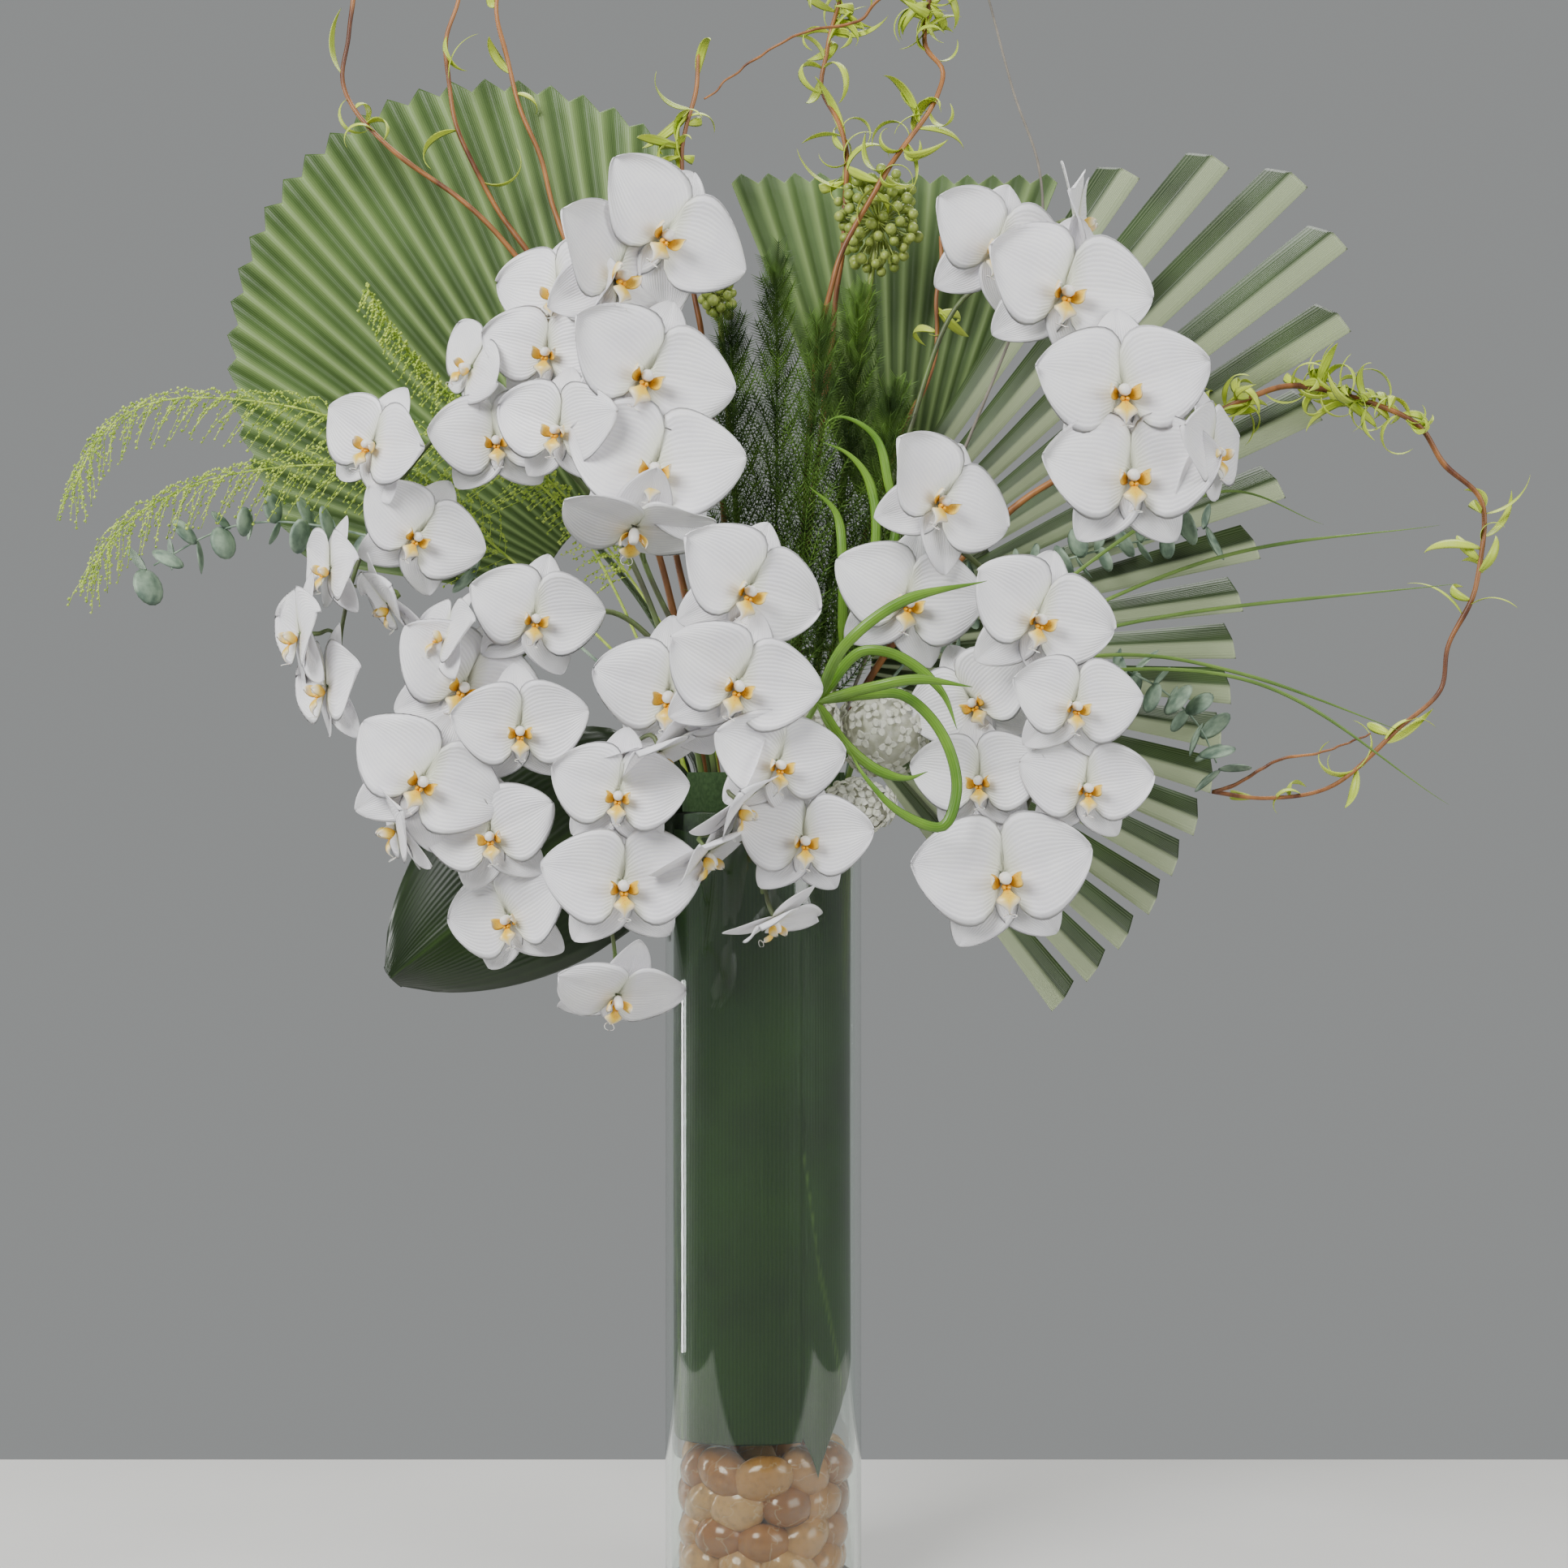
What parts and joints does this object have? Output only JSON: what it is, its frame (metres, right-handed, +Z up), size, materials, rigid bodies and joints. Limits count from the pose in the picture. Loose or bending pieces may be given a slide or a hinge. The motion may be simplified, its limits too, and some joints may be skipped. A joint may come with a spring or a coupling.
{
  "type": "orchid arrangement in glass vase",
  "caption": "Tall clear cylinder vase with pebbles and wrapped leaves, holding arching sprays of white moth orchids among palm fans and curly willow.",
  "frame": {"origin": "centre of the vase's flat underside", "axes": "+Z up along the vase, front of the arrangement towards -Y"},
  "size_m": [1.1035, 0.3169, 1.3353],
  "materials": {
    "glass": "polished clear",
    "pebble": "tumbled and polished",
    "foam": "matt, crumbly",
    "liner_leaf": "waxy satin",
    "petal": "matt velvety white",
    "palm_leaf": "satin, ribbed",
    "dark_leaf": "waxy satin",
    "willow_bark": "smooth bark",
    "willow_leaf": "soft satin",
    "hydrangea_petal": "matt",
    "berry": "satin",
    "fern": "matt",
    "lime_foliage": "matt",
    "eucalyptus_leaf": "matt with a bloom",
    "grass_blade": "satin"
  },
  "bodies": {
    "root": {"bear_grass": "grass_blade", "berry_cluster_left": "berry", "berry_cluster_right": "berry", "collar_leaf_left": "dark_leaf", "collar_leaf_middle": "dark_leaf", "eucalyptus_left": "eucalyptus_leaf", "eucalyptus_right": "eucalyptus_leaf", "eucalyptus_upper": "eucalyptus_leaf", "fern_plume_1": "fern", "fern_plume_2": "fern", "fern_plume_3": "fern", "fern_plume_4": "fern", "fern_plume_5": "fern", "floral_foam": "foam", "glass_vase": "glass", "hydrangea_large": "hydrangea_petal", "hydrangea_left": "hydrangea_petal", "hydrangea_lower": "hydrangea_petal", "lily_grass_lower": "grass_blade", "lily_grass_upper": "grass_blade", "lime_panicle_lower": "lime_foliage", "lime_panicle_upper": "lime_foliage", "lime_sprig": "lime_foliage", "liner_leaf_back": "liner_leaf", "liner_leaf_left": "liner_leaf", "liner_leaf_right": "liner_leaf", "orchid_spray_centre": "petal", "orchid_spray_hanging": "petal", "orchid_spray_left": "petal", "orchid_spray_lower_left": "petal", "orchid_spray_lower_right": "petal", "orchid_spray_top": "petal", "orchid_spray_upper_right": "petal", "palm_fan_back": "palm_leaf", "palm_fan_left": "palm_leaf", "palm_fan_right": "palm_leaf", "pebble_bed": "pebble", "reed_blade": "grass_blade", "willow_centre_left": "willow_bark", "willow_centre_right": "willow_bark", "willow_left_high": "willow_bark", "willow_left_inner": "willow_bark", "willow_left_outer": "willow_bark", "willow_loop_right": "willow_bark", "willow_right_short": "willow_bark", "willow_short": "willow_bark"}
  },
  "joints": []
}
